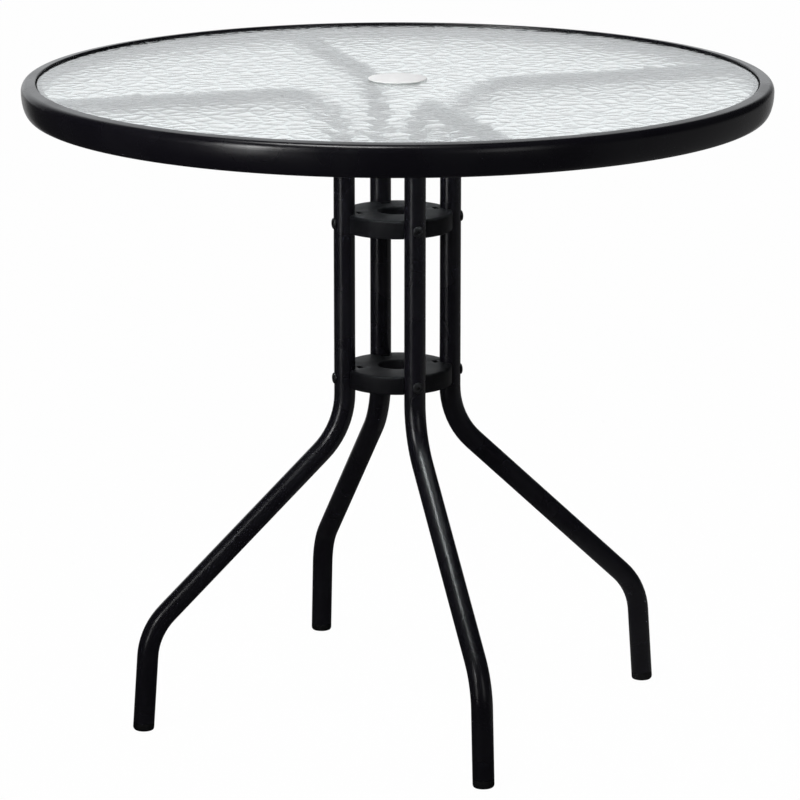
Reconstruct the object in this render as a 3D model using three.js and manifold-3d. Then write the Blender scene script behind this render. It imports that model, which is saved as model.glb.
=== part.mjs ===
// A round umbrella table: a rippled glass top in a hollow steel rim, on four bent tube legs
// that two plastic hubs hold round the path of the umbrella pole.
// Millimetres, +Z up. The origin is on the floor on the axis of the table, and the front
// leg points to -Y. Each leg is drawn in its own upright plane, with +X pointing outwards.

import * as THREE from 'three';
import { mergeVertices } from 'three/addons/utils/BufferGeometryUtils.js';
import Module from 'manifold-3d';

const wasm = await Module();
wasm.setup();

// Clearance between pieces that touch, and how far a cutter runs past what it cuts
const gap = 0.3;
const overrun = 1;

// Overall size
const tableHeight = 700;
const topRadius = 400;

// Rim, a roll formed section with a recess for the glass
const rimHeight = 34.5;
const rimWidth = 22;
const rimWall = 1.2;
const rimTopWidth = 15.4;
const rimTopRound = 6.5;
const rimLipRound = 2;
const rimOuterRoundHeight = 25;
const rimInnerRoundHeight = 10;
const rimKeelShare = 0.545;
const rimSeam = 0.6;
const ledgeOverhang = 1;

// Glass and its gasket
const glassRecess = 2.4;
const glassThickness = 6;
const glassHoleRadius = 25;
const glassEdgeBevel = 0.7;
const gasketBase = 1.2;
const gasketLip = 0.8;

// Plug in the umbrella hole
const capFlangeRadius = 31.5;
const capFlangeEdge = 1.6;
const capDomeHeight = 4.8;
const capWall = 1.9;
const capSkirtLength = 13;
const capSkirtTaper = 0.6;
const capDomeRoundShare = 0.3;

// Legs, one bent tube each
const tubeDiameter = 23;
const tubeWall = 1.2;
const uprightCircleRadius = 60;
const armBendRadius = 70;
const kneeHeight = 320.5;
const kneeBendRadius = 88;
const ankleCircleRadius = 282;
const ankleHeight = 109.6;
const ankleBendRadius = 72;
const footCircleRadius = 290;

// Plugs in the feet
const footPlugHeight = 8;
const footPlugRound = 3;
const footStemLength = 18;

// Pads between the arms and the glass
const armPadRadius = 5;
const armPadThickness = 1.7;
const armPadInset = 97.2;

// Hubs
const hubThickness = 20;
const hubReveal = 1;
const hubBoreRadius = 21;
const hubTopRound = 3;
const hubBottomRound = 1.2;
const hubBoreRound = 1.5;
const hubWeb = 2.5;
const lowerHubRise = 7.2;
const upperHubDrop = 52.3;

// Bolts and nuts
const boltRadius = 3;
const boltHeadRadius = 6;
const boltHeadHeight = 2.4;
const boltSpotRadius = 6.5;
const boltSpotDepth = 0.8;
const boltTipReach = 2;
const boltTipBevel = 0.5;
const boltDomeShares = [[1, 0.3], [0.82, 0.8], [0.5, 1]];
const socketAcrossFlats = 4;
const socketDepth = 2;
const nutAcrossFlats = 10;
const nutThickness = 5;

// Brackets between the rim and the arms
const bracketPlateWidth = 20;
const bracketPlateHeight = 16;
const bracketPlateThickness = 3;
const tongueLength = 30;
const tongueWidth = 14;
const tongueThickness = 3;
const armBoltInset = 15;

// Numbers of flat sides on the round pieces, and the turn of one step along a bend
const ringSides = 64;
const capSides = 32;
const hubSides = 40;
const tubeSides = 12;
const tubeBoreSides = 8;
const boltSides = 8;
const padSides = 12;
const hexSides = 6;
const bendStep = THREE.MathUtils.degToRad(13);

const legSides = ['front', 'right', 'back', 'left'];
const quarterTurn = Math.PI / 2;

// Heights and radii that follow from the sizes above
const rimBottom = tableHeight - rimHeight;
const rimRecessRadius = topRadius - rimTopWidth;
const rimInnerWallRadius = topRadius - rimWidth + ledgeOverhang;
const ledgeTipRadius = topRadius - rimWidth;
const glassTop = tableHeight - glassRecess;
const glassBottom = glassTop - glassThickness;
const gasketTop = glassBottom - gap;
const ledgeTop = gasketTop - gasketBase - gap;
const gasketOuterRadius = rimRecessRadius - gap;
const glassRadius = gasketOuterRadius - gasketLip - gap;

const tubeRadius = tubeDiameter / 2;
const tubeBoreRadius = tubeRadius - tubeWall;
const armTop = glassBottom - 2 * gap - armPadThickness;
const armHeight = armTop - tubeRadius;
const armPadCircleRadius = glassRadius - armPadInset;

const kneeTurn = Math.atan2(ankleCircleRadius - uprightCircleRadius, kneeHeight - ankleHeight);
const kneeStartHeight = kneeHeight + kneeBendRadius * Math.tan(kneeTurn / 2);
const lowerHubBottom = kneeStartHeight + lowerHubRise;
const upperHubBottom = armHeight - armBendRadius - upperHubDrop - hubThickness;
const hubBoltHeight = hubThickness / 2;

const notchRadius = tubeRadius + gap;
const pocketOuterRadius = uprightCircleRadius - notchRadius - hubWeb;
const nutOuterRadius = pocketOuterRadius - gap;
const nutInnerRadius = nutOuterRadius - nutThickness;
const nutCornerRadius = nutAcrossFlats / 2 / Math.cos(Math.PI / 6);
const boltSpotFace = uprightCircleRadius + tubeRadius - boltSpotDepth;
const hubBoltSeatRadius = boltSpotFace + gap;
const hubBoltLength = hubBoltSeatRadius - nutInnerRadius + boltTipReach;

const plateOuterRadius = rimInnerWallRadius
  - bracketPlateWidth / 2 * Math.tan(Math.PI / ringSides) - gap;
const plateInnerRadius = plateOuterRadius - bracketPlateThickness;
const armEndRadius = plateInnerRadius - gap;
const armBoltCircleRadius = armEndRadius - armBoltInset;
const armNutBottom = armHeight + tongueThickness / 2 + gap;
const armBoltSeatHeight = armHeight - tubeRadius - gap;
const armBoltLength = armNutBottom + nutThickness + boltTipReach - armBoltSeatHeight;
const footTilt = Math.atan2(footCircleRadius - ankleCircleRadius, ankleHeight);

// Join the corners that coincide and drop faces that have no area
function weld(geometry) {
  geometry.deleteAttribute('normal');
  geometry.deleteAttribute('uv');
  const merged = mergeVertices(geometry);
  const corners = merged.index.array;
  const kept = [];
  for (let i = 0; i < corners.length; i += 3) {
    const [a, b, c] = corners.slice(i, i + 3);
    if (a !== b && b !== c && c !== a) kept.push(a, b, c);
  }
  merged.setIndex(kept);
  return merged;
}

function toSolid(geometry) {
  return new wasm.Manifold(new wasm.Mesh({
    numProp: 3,
    vertProperties: new Float32Array(geometry.attributes.position.array),
    triVerts: new Uint32Array(geometry.index.array),
  }));
}

function toGeometry(solid) {
  const mesh = solid.getMesh();
  const geometry = new THREE.BufferGeometry();
  geometry.setAttribute('position', new THREE.BufferAttribute(mesh.vertProperties, mesh.numProp));
  geometry.setIndex(new THREE.BufferAttribute(mesh.triVerts, 1));
  return geometry;
}

function cut(geometry, cutters) {
  let solid = toSolid(geometry);
  for (const cutter of cutters) solid = solid.subtract(toSolid(cutter));
  return toGeometry(solid);
}

// A solid turned about the Z axis from an outline of radius and height pairs
function turned(outline, sides) {
  const points = outline.map(([radius, height]) => new THREE.Vector2(radius, height));
  if (THREE.ShapeUtils.isClockWise(points)) points.reverse();
  const geometry = new THREE.LatheGeometry(points, sides);
  geometry.rotateX(quarterTurn);
  return weld(geometry);
}

function turnedRing(outline, sides) {
  return turned([...outline, outline[0]], sides);
}

// A straight round bar along Z
function bar(radius, bottom, top, sides) {
  return turned([[0, bottom], [radius, bottom], [radius, top], [0, top]], sides);
}

// A bar that lies outwards along X between two distances from the axis
function outwardBar(radius, start, end, sides) {
  return bar(radius, start, end, sides).rotateY(quarterTurn);
}

// A box between two corners
function block(low, high) {
  const size = high.map((value, axis) => value - low[axis]);
  const middle = high.map((value, axis) => (value + low[axis]) / 2);
  const geometry = new THREE.BoxGeometry(...size);
  geometry.translate(...middle);
  return weld(geometry);
}

function circlePoints(radius, sides) {
  return Array.from({ length: sides }, (_, i) => {
    const angle = 2 * Math.PI * i / sides;
    return new THREE.Vector2(radius * Math.cos(angle), radius * Math.sin(angle));
  });
}

// Points on a quarter of an ellipse, from one angle to another
function quarterRound(centre, width, height, startAngle, steps) {
  return Array.from({ length: steps + 1 }, (_, i) => {
    const angle = startAngle - quarterTurn * i / steps;
    return [centre[0] + width * Math.cos(angle), centre[1] + height * Math.sin(angle)];
  });
}

// The same open outline moved to its right-hand side by one distance
function offsetOutline(outline, distance) {
  const points = outline.map(([x, y]) => new THREE.Vector2(x, y));
  const headings = points.slice(1).map((point, i) => point.clone().sub(points[i]).normalize());
  return points.map((point, i) => {
    const before = headings[Math.max(i - 1, 0)];
    const after = headings[Math.min(i, headings.length - 1)];
    const middle = before.clone().add(after).normalize();
    const reach = distance / middle.dot(after);
    return [point.x + middle.y * reach, point.y - middle.x * reach];
  });
}

// The rim's sheet, followed from the ledge under the glass over the top and round to the inside
function rimSheetOutline() {
  const keelRadius = rimInnerWallRadius + (topRadius - rimInnerWallRadius) * rimKeelShare;
  const keelSteps = 3;
  const shoulderSteps = 5;
  return [
    [ledgeTipRadius, ledgeTop],
    [rimRecessRadius, ledgeTop],
    ...quarterRound([rimRecessRadius + rimLipRound, tableHeight - rimLipRound],
      rimLipRound, rimLipRound, 2 * quarterTurn, 1),
    ...quarterRound([topRadius - rimTopRound, tableHeight - rimTopRound],
      rimTopRound, rimTopRound, quarterTurn, keelSteps),
    ...quarterRound([keelRadius, rimBottom + rimOuterRoundHeight],
      topRadius - keelRadius, rimOuterRoundHeight, 0, shoulderSteps),
    ...quarterRound([keelRadius, rimBottom + rimInnerRoundHeight],
      keelRadius - rimInnerWallRadius, rimInnerRoundHeight, -quarterTurn, keelSteps).slice(1),
    [rimInnerWallRadius, ledgeTop - rimWall - rimSeam],
  ];
}

function makeRim() {
  const outer = rimSheetOutline();
  return turnedRing([...outer, ...offsetOutline(outer, rimWall).reverse()], ringSides);
}

function makeGasket() {
  const lipRadius = gasketOuterRadius - gasketLip;
  return turnedRing([
    [ledgeTipRadius, gasketTop - gasketBase],
    [gasketOuterRadius, gasketTop - gasketBase],
    [gasketOuterRadius, glassTop],
    [lipRadius, glassTop],
    [lipRadius, gasketTop],
    [ledgeTipRadius, gasketTop],
  ], ringSides);
}

function makeGlass() {
  return turnedRing([
    [glassHoleRadius + glassEdgeBevel, glassBottom],
    [glassRadius - glassEdgeBevel, glassBottom],
    [glassRadius, glassBottom + glassEdgeBevel],
    [glassRadius, glassTop - glassEdgeBevel],
    [glassRadius - glassEdgeBevel, glassTop],
    [glassHoleRadius + glassEdgeBevel, glassTop],
    [glassHoleRadius, glassTop - glassEdgeBevel],
    [glassHoleRadius, glassBottom + glassEdgeBevel],
  ], ringSides);
}

// The plug's top is a shallow dome, and its skirt is open below
function makeHoleCap() {
  const seat = glassTop + gap;
  const crown = glassTop + capDomeHeight;
  const skirtRadius = glassHoleRadius - gap;
  const skirtBottom = seat - capSkirtLength;
  const shoulder = capFlangeRadius * (1 - capDomeRoundShare);
  return turned([
    [0, crown],
    [shoulder, crown - capDomeRoundShare * (crown - seat - capFlangeEdge)],
    [capFlangeRadius, seat + capFlangeEdge],
    [capFlangeRadius, seat],
    [skirtRadius, seat],
    [skirtRadius - capSkirtTaper, skirtBottom],
    [skirtRadius - capSkirtTaper - capWall, skirtBottom],
    [skirtRadius - capWall, crown - 2 * capWall],
    [0, crown - capWall],
  ], capSides);
}

// Points and directions along a line of corners whose inner corners are bent to given radii
function roundedStations(corners, bendRadii) {
  const headings = corners.slice(1).map((corner, i) => corner.clone().sub(corners[i]).normalize());
  const stations = [{ point: corners[0], heading: headings[0] }];
  bendRadii.forEach((radius, i) => {
    const [before, after] = [headings[i], headings[i + 1]];
    const turn = before.angleTo(after);
    const axis = before.clone().cross(after).normalize();
    const inwards = axis.clone().cross(before);
    const start = corners[i + 1].clone().addScaledVector(before, -radius * Math.tan(turn / 2));
    const centre = start.clone().addScaledVector(inwards, radius);
    const steps = Math.ceil(turn / bendStep);
    for (let step = 0; step <= steps; step += 1) {
      const angle = turn * step / steps;
      stations.push({
        point: inwards.clone().multiplyScalar(-radius).applyAxisAngle(axis, angle).add(centre),
        heading: before.clone().applyAxisAngle(axis, angle),
      });
    }
  });
  stations.push({ point: corners.at(-1), heading: headings.at(-1) });
  return stations;
}

// A curve that an extrusion follows station by station, with no steps on its straight runs
class StationCurve extends THREE.Curve {
  constructor(stations) {
    super();
    this.stations = stations;
  }

  stationAt(t) {
    return this.stations[Math.round(t * (this.stations.length - 1))];
  }

  getUtoTmapping(u) {
    return u;
  }

  getPoint(t, target = new THREE.Vector3()) {
    return target.copy(this.stationAt(t).point);
  }

  getTangent(t, target = new THREE.Vector3()) {
    return target.copy(this.stationAt(t).heading);
  }
}

// The centre line of a leg, from the end of its arm at the rim to the top of its foot plug
function legStations() {
  const plugTop = footPlugHeight + gap;
  const inPlane = (x, z) => new THREE.Vector3(x, 0, z);
  return roundedStations([
    inPlane(armEndRadius, armHeight),
    inPlane(uprightCircleRadius, armHeight),
    inPlane(uprightCircleRadius, kneeHeight),
    inPlane(ankleCircleRadius, ankleHeight),
    inPlane(footCircleRadius - plugTop * Math.sin(footTilt), plugTop * Math.cos(footTilt)),
  ], [armBendRadius, kneeBendRadius, ankleBendRadius]);
}

function makeLeg() {
  const section = new THREE.Shape(circlePoints(tubeRadius, tubeSides));
  section.holes.push(new THREE.Path(circlePoints(tubeBoreRadius, tubeBoreSides)));
  const stations = legStations();
  const tube = new THREE.ExtrudeGeometry(section, {
    steps: stations.length - 1,
    extrudePath: new StationCurve(stations),
  });
  const holeStart = uprightCircleRadius - tubeRadius - overrun;
  const holeEnd = uprightCircleRadius + tubeRadius + overrun;
  const hubHole = (height) => outwardBar(boltRadius + gap, holeStart, holeEnd, boltSides)
    .translate(0, 0, height + hubBoltHeight);
  const hubSpot = (height) => outwardBar(boltSpotRadius, boltSpotFace, holeEnd, boltSides)
    .translate(0, 0, height + hubBoltHeight);
  const armHole = bar(boltRadius + gap, armHeight - tubeRadius - overrun, armHeight, boltSides)
    .translate(armBoltCircleRadius, 0, 0);
  const hubCuts = [upperHubBottom, lowerHubBottom].flatMap((height) => [hubHole(height), hubSpot(height)]);
  return cut(weld(tube), [...hubCuts, armHole]);
}

// A plug whose stem fills the end of the tube and whose bottom is flat on the floor
function makeFootPlug() {
  const stemRadius = tubeBoreRadius - gap;
  const floorDip = tubeRadius * Math.tan(footTilt);
  const flange = turned([
    [0, -floorDip],
    [tubeRadius - footPlugRound, -floorDip],
    [tubeRadius, footPlugRound],
    [tubeRadius, footPlugHeight],
    [0, footPlugHeight],
  ], tubeSides);
  const stem = bar(stemRadius, 0, footPlugHeight + footStemLength, tubeBoreSides);
  const plug = toGeometry(toSolid(flange).add(toSolid(stem)));
  plug.rotateY(-footTilt);
  plug.translate(footCircleRadius, 0, 0);
  const floor = block(
    [footCircleRadius - tubeDiameter, -tubeDiameter, -tubeDiameter],
    [footCircleRadius + tubeDiameter, tubeDiameter, 0],
  );
  return cut(plug, [floor]);
}

// A small round pad with its underside shaped to the tube
function makeArmPad() {
  const pad = bar(armPadRadius, armHeight, armTop + gap + armPadThickness, padSides);
  const tube = outwardBar(tubeRadius + gap, -2 * armPadRadius, 2 * armPadRadius, tubeSides);
  return cut(pad, [tube.translate(0, 0, armHeight)]);
}

function hubOutline() {
  const hubRadius = uprightCircleRadius - hubReveal;
  return [
    [hubBoreRadius, hubBoreRound],
    [hubBoreRadius + hubBoreRound, 0],
    [hubRadius - hubBottomRound, 0],
    [hubRadius, hubBottomRound],
    ...quarterRound([hubRadius - hubTopRound, hubThickness - hubTopRound],
      hubTopRound, hubTopRound, quarterTurn, 2).reverse(),
    [hubBoreRadius + hubBoreRound, hubThickness],
    [hubBoreRadius, hubThickness - hubBoreRound],
  ];
}

// A round notch for the upright, a pocket for the nut and a hole for the bolt
function hubCutters() {
  const notch = bar(notchRadius, -overrun, hubThickness + overrun, tubeSides)
    .translate(uprightCircleRadius, 0, 0);
  const pocketHalfWidth = nutAcrossFlats / 2 + gap;
  const pocket = block(
    [nutInnerRadius - gap, -pocketHalfWidth, hubBoltHeight - nutCornerRadius - gap],
    [pocketOuterRadius, pocketHalfWidth, hubThickness + overrun],
  );
  const hole = outwardBar(boltRadius + gap, nutInnerRadius - boltTipReach - gap,
    uprightCircleRadius, boltSides).translate(0, 0, hubBoltHeight);
  return [notch, pocket, hole];
}

function makeHub() {
  const cutters = legSides.flatMap((_, i) => (
    hubCutters().map((cutter) => cutter.rotateZ(i * quarterTurn))
  ));
  return cut(turnedRing(hubOutline(), hubSides), cutters);
}

// A domed bolt whose head rests at height zero, with its shank below
function makeBolt(length) {
  const dome = boltDomeShares.map(([radiusShare, heightShare]) => (
    [boltHeadRadius * radiusShare, boltHeadHeight * heightShare]
  ));
  const bolt = turned([
    [0, -length],
    [boltRadius - boltTipBevel, -length],
    [boltRadius, boltTipBevel - length],
    [boltRadius, 0],
    [boltHeadRadius, 0],
    ...dome,
    [0, boltHeadHeight],
  ], boltSides);
  const socketRadius = socketAcrossFlats / 2 / Math.cos(Math.PI / 6);
  const socket = bar(socketRadius, boltHeadHeight - socketDepth, boltHeadHeight + overrun, hexSides);
  return cut(bolt, [socket]);
}

// A hexagon nut along Z, standing on height zero
function makeNut() {
  const shape = new THREE.Shape(circlePoints(nutCornerRadius, hexSides));
  shape.holes.push(new THREE.Path(circlePoints(boltRadius + gap, boltSides)));
  return weld(new THREE.ExtrudeGeometry(shape, { depth: nutThickness, bevelEnabled: false }));
}

// An upright plate against the rim with a tongue that enters the end of the arm
function makeBracket() {
  const plateTop = ledgeTop - rimWall - 2 * gap;
  const plate = block(
    [plateInnerRadius, -bracketPlateWidth / 2, plateTop - bracketPlateHeight],
    [plateOuterRadius, bracketPlateWidth / 2, plateTop],
  );
  const tongue = block(
    [armEndRadius - tongueLength, -tongueWidth / 2, armHeight - tongueThickness / 2],
    [plateInnerRadius + bracketPlateThickness / 2, tongueWidth / 2, armHeight + tongueThickness / 2],
  );
  const hole = bar(boltRadius + gap, armHeight - tongueThickness, armHeight + tongueThickness,
    boltSides).translate(armBoltCircleRadius, 0, 0);
  return cut(toGeometry(toSolid(plate).add(toSolid(tongue))), [hole]);
}

const blackCoat = { color: 0x131217, roughness: 0.38, metalness: 0.1 };
const blackPlastic = { color: 0x1b1b1e, roughness: 0.6, metalness: 0 };
const blackRubber = { color: 0x0c0c0d, roughness: 0.8, metalness: 0 };
const rippledGlass = { color: 0xe4ebea, roughness: 0.08, metalness: 0, transparent: true, opacity: 0.45 };
const palePlastic = { color: 0xe6e7e8, roughness: 0.35, metalness: 0 };
const clearVinyl = { color: 0x9aa0a2, roughness: 0.4, metalness: 0 };
const blackenedSteel = { color: 0x1a1a1d, roughness: 0.35, metalness: 0.6 };

function piece(name, geometry, finish) {
  const mesh = new THREE.Mesh(geometry, new THREE.MeshStandardMaterial({ ...finish, flatShading: true }));
  mesh.name = name;
  return mesh;
}

function makeTop() {
  const top = new THREE.Group();
  top.add(
    piece('rim', makeRim(), blackCoat),
    piece('rim_gasket', makeGasket(), blackRubber),
    piece('glass_top', makeGlass(), rippledGlass),
    piece('hole_cap', makeHoleCap(), palePlastic),
  );
  return top;
}

// What joins one end of an arm to the rim, and the pad that the glass rests on
function makeArmEnd(side) {
  const bolt = piece(`arm_bolt_${side}`, makeBolt(armBoltLength), blackenedSteel);
  bolt.position.set(armBoltCircleRadius, 0, armBoltSeatHeight);
  bolt.rotation.x = Math.PI;
  const nut = piece(`arm_nut_${side}`, makeNut(), blackenedSteel);
  nut.position.set(armBoltCircleRadius, 0, armNutBottom);
  const pad = piece(`arm_pad_${side}`, makeArmPad(), clearVinyl);
  pad.position.x = armPadCircleRadius;
  const armEnd = new THREE.Group();
  armEnd.add(bolt, nut, pad, piece(`rim_bracket_${side}`, makeBracket(), blackCoat));
  return armEnd;
}

// The bolt and nut that hold one upright to one hub
function makeHubFastener(hubName, side) {
  const bolt = piece(`${hubName}_bolt_${side}`, makeBolt(hubBoltLength), blackenedSteel);
  bolt.position.set(hubBoltSeatRadius, 0, hubBoltHeight);
  bolt.rotation.y = quarterTurn;
  const nut = piece(`${hubName}_nut_${side}`, makeNut(), blackenedSteel);
  nut.position.set(nutInnerRadius, 0, hubBoltHeight);
  nut.rotation.y = quarterTurn;
  const fastener = new THREE.Group();
  fastener.add(bolt, nut);
  return fastener;
}

function makeHubSet(hubName, bottom) {
  const set = new THREE.Group();
  set.position.z = bottom;
  set.add(piece(hubName, makeHub(), blackPlastic));
  legSides.forEach((side, i) => {
    const fastener = makeHubFastener(hubName, side);
    fastener.rotation.z = (i - 1) * quarterTurn;
    set.add(fastener);
  });
  return set;
}

function makeLegSet(side, index) {
  const set = new THREE.Group();
  set.rotation.z = (index - 1) * quarterTurn;
  set.add(
    piece(`leg_${side}`, makeLeg(), blackCoat),
    piece(`foot_plug_${side}`, makeFootPlug(), blackPlastic),
    makeArmEnd(side),
  );
  return set;
}

const table = new THREE.Group();
table.add(
  makeTop(),
  makeHubSet('upper_hub', upperHubBottom),
  makeHubSet('lower_hub', lowerHubBottom),
  ...legSides.map(makeLegSet),
);

export default table;
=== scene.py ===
# A round umbrella table: rippled glass in a black steel rim, on four bent tube legs
# that two plastic hubs hold round the path of the umbrella pole.
# Metres, +Z up. The origin is on the floor on the axis, and the front leg points to -Y.

from math import atan2, ceil, cos, pi, radians, sin, tan

import bmesh
import bpy
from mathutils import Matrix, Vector


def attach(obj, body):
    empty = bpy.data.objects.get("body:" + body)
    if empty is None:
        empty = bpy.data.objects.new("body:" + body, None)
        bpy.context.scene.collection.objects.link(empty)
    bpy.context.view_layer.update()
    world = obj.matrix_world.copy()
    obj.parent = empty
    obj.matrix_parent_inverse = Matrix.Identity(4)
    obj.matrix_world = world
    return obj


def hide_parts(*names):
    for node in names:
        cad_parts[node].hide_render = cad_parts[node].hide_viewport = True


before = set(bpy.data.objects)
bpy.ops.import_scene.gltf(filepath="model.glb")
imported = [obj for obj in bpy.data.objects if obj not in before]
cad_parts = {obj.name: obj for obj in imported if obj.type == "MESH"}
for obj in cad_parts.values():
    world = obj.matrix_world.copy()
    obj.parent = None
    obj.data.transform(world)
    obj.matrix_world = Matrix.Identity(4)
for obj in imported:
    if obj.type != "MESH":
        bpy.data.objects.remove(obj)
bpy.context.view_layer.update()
print('frame loaded')

legTurns = {'Right': 0, 'Back': pi / 2, 'Left': pi, 'Front': -pi / 2}

table = {
    'height': 0.7,
    'radius': 0.4,
    'gap': 0.0003,  # clearance between pieces that touch
    'smoothAngle': radians(32),
    'mergeDistance': 1e-6,
    'bevelAngle': radians(30),
    'bevelSegments': 2,
    'facing': 0.9,  # a face looks along an axis if its normal has this much of it
}


# Working in the scene

def deselectAll():
    if bpy.context.mode != 'OBJECT':
        bpy.ops.object.mode_set(mode='OBJECT')
    bpy.ops.object.select_all(action='DESELECT')


def useObject(thing):
    deselectAll()
    thing.select_set(True)
    bpy.context.view_layer.objects.active = thing


def placeInMesh(thing):
    useObject(thing)
    bpy.ops.object.transform_apply(location=True, rotation=True, scale=True)
    return thing


def startPiece(name):
    # Takes the primitive that was just added, and opens it with all of it selected
    piece = placeInMesh(bpy.context.object)
    piece.name = piece.data.name = name
    bpy.ops.object.mode_set(mode='EDIT')
    bpy.ops.mesh.select_mode(type='VERT')
    bpy.ops.mesh.select_all(action='SELECT')
    return piece


def pick(kind, test):
    # Selects the vertices, edges or faces that pass a test
    bpy.ops.mesh.select_mode(type=kind)
    bpy.ops.mesh.select_all(action='DESELECT')
    mesh = bmesh.from_edit_mesh(bpy.context.object.data)
    for item in {'VERT': mesh.verts, 'EDGE': mesh.edges, 'FACE': mesh.faces}[kind]:
        if test(item):
            item.select_set(True)
    bmesh.update_edit_mesh(bpy.context.object.data)


def extrude(move):
    bpy.ops.mesh.extrude_region_move(TRANSFORM_OT_translate={'value': move})


def cleanMesh():
    # Merges what coincides, and turns the faces outwards
    bpy.ops.mesh.select_all(action='SELECT')
    bpy.ops.mesh.remove_doubles(threshold=table['mergeDistance'])
    bpy.ops.mesh.normals_make_consistent(inside=False)
    bpy.ops.object.mode_set(mode='OBJECT')


def applyModifier(piece, kind, **settings):
    useObject(piece)
    modifier = piece.modifiers.new(kind.title(), kind)
    for name, value in settings.items():
        setattr(modifier, name, value)
    bpy.ops.object.modifier_apply(modifier=modifier.name)


def bevelEdges(piece, width, angle=table['bevelAngle']):
    applyModifier(piece, 'BEVEL', width=width, segments=table['bevelSegments'],
                  limit_method='ANGLE', angle_limit=angle, use_clamp_overlap=True)


def addWall(piece, thickness):
    # The wall grows inwards from the drawn surface, whose highest face looks up
    highest = max(piece.data.polygons, key=lambda face: face.center.z)
    if highest.normal.z < 0:
        bpy.ops.object.mode_set(mode='EDIT')
        bpy.ops.mesh.select_all(action='SELECT')
        bpy.ops.mesh.flip_normals()
        bpy.ops.object.mode_set(mode='OBJECT')
    applyModifier(piece, 'SOLIDIFY', thickness=thickness, offset=-1, use_even_offset=True)


def cutAway(piece, cutters):
    for cutter in cutters:
        applyModifier(piece, 'BOOLEAN', object=cutter, operation='DIFFERENCE', solver='EXACT')
        bpy.data.objects.remove(cutter)


def smooth(piece):
    useObject(piece)
    bpy.ops.object.shade_smooth_by_angle(angle=table['smoothAngle'])


def finishPiece(piece, material, node, body='table'):
    piece.data.materials.clear()
    piece.data.materials.append(material)
    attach(piece, body)
    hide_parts(node)


def arcPoints(centre, width, height, start, end, steps):
    # Points of an ellipse's arc, in degrees from its outer side upwards
    angles = [radians(start + (end - start) * i / steps) for i in range(steps + 1)]
    return [(centre[0] + width * cos(a), centre[1] + height * sin(a)) for a in angles]


def drawOutline(name, points):
    # A line of radius and height pairs in the XZ plane, drawn by pulling one vertex along
    deselectAll()
    bpy.ops.mesh.primitive_plane_add(size=table['gap'], location=(points[0][0], 0, points[0][1]))
    piece = startPiece(name)
    bpy.ops.mesh.merge(type='CENTER')
    for (r0, z0), (r1, z1) in zip(points, points[1:]):
        extrude((r1 - r0, 0, z1 - z0))
    return piece


def spinPiece(name, points, steps):
    piece = drawOutline(name, points)
    bpy.ops.mesh.select_all(action='SELECT')
    bpy.ops.mesh.spin(steps=steps, angle=2 * pi, center=(0, 0, 0), axis=(0, 0, 1))
    cleanMesh()
    return piece


def barCutter(radius, length, location, rotation=(0, 0, 0), sides=32):
    deselectAll()
    bpy.ops.mesh.primitive_cylinder_add(vertices=sides, radius=radius, depth=length,
                                        location=location, rotation=rotation)
    return placeInMesh(bpy.context.object)


def blockCutter(low, high):
    deselectAll()
    middle = [(a + b) / 2 for a, b in zip(low, high)]
    bpy.ops.mesh.primitive_cube_add(size=1, location=middle)
    bpy.context.object.scale = [b - a for a, b in zip(low, high)]
    return placeInMesh(bpy.context.object)


# Materials

def addNode(tree, kind, **inputs):
    node = tree.nodes.new(kind)
    for name, value in inputs.items():
        node.inputs[name.replace('_', ' ')].default_value = value
    return node


def mathNode(tree, operation, first, second):
    node = tree.nodes.new('ShaderNodeMath')
    node.operation = operation
    for socket, value in zip(node.inputs, (first, second)):
        if isinstance(value, bpy.types.NodeSocket):
            tree.links.new(value, socket)
        else:
            socket.default_value = value
    return node.outputs[0]


def vectorNode(tree, operation, first, second=None, scale=None):
    node = tree.nodes.new('ShaderNodeVectorMath')
    node.operation = operation
    for socket, value in zip(node.inputs, (first, second)):
        if isinstance(value, bpy.types.NodeSocket):
            tree.links.new(value, socket)
        elif value is not None:
            socket.default_value = value
    if scale is not None:
        node.inputs['Scale'].default_value = scale
    return node.outputs['Vector']


def lengthNode(tree, vector):
    node = tree.nodes.new('ShaderNodeVectorMath')
    node.operation = 'LENGTH'
    tree.links.new(vector, node.inputs[0])
    return node.outputs['Value']


def rangeNode(tree, value, low, high, newLow, newHigh, kind='SMOOTHSTEP'):
    node = addNode(tree, 'ShaderNodeMapRange', From_Min=low, From_Max=high,
                   To_Min=newLow, To_Max=newHigh)
    node.interpolation_type = kind
    tree.links.new(value, node.inputs['Value'])
    return node.outputs['Result']


def colourMix(tree, factor, low, high):
    node = tree.nodes.new('ShaderNodeMix')
    node.data_type = 'RGBA'
    node.inputs['A'].default_value = (*low, 1)
    node.inputs['B'].default_value = (*high, 1)
    tree.links.new(factor, node.inputs['Factor'])
    return node.outputs['Result']


grainLook = {
    'grainDetail': 3.0,
    'grainRoughness': 0.6,
    'toneDetail': 2.0,
    'toneRoughness': 0.5,
    'toneRange': (0.35, 0.65),  # of the noise, spread over the whole change of tone
}


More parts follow.
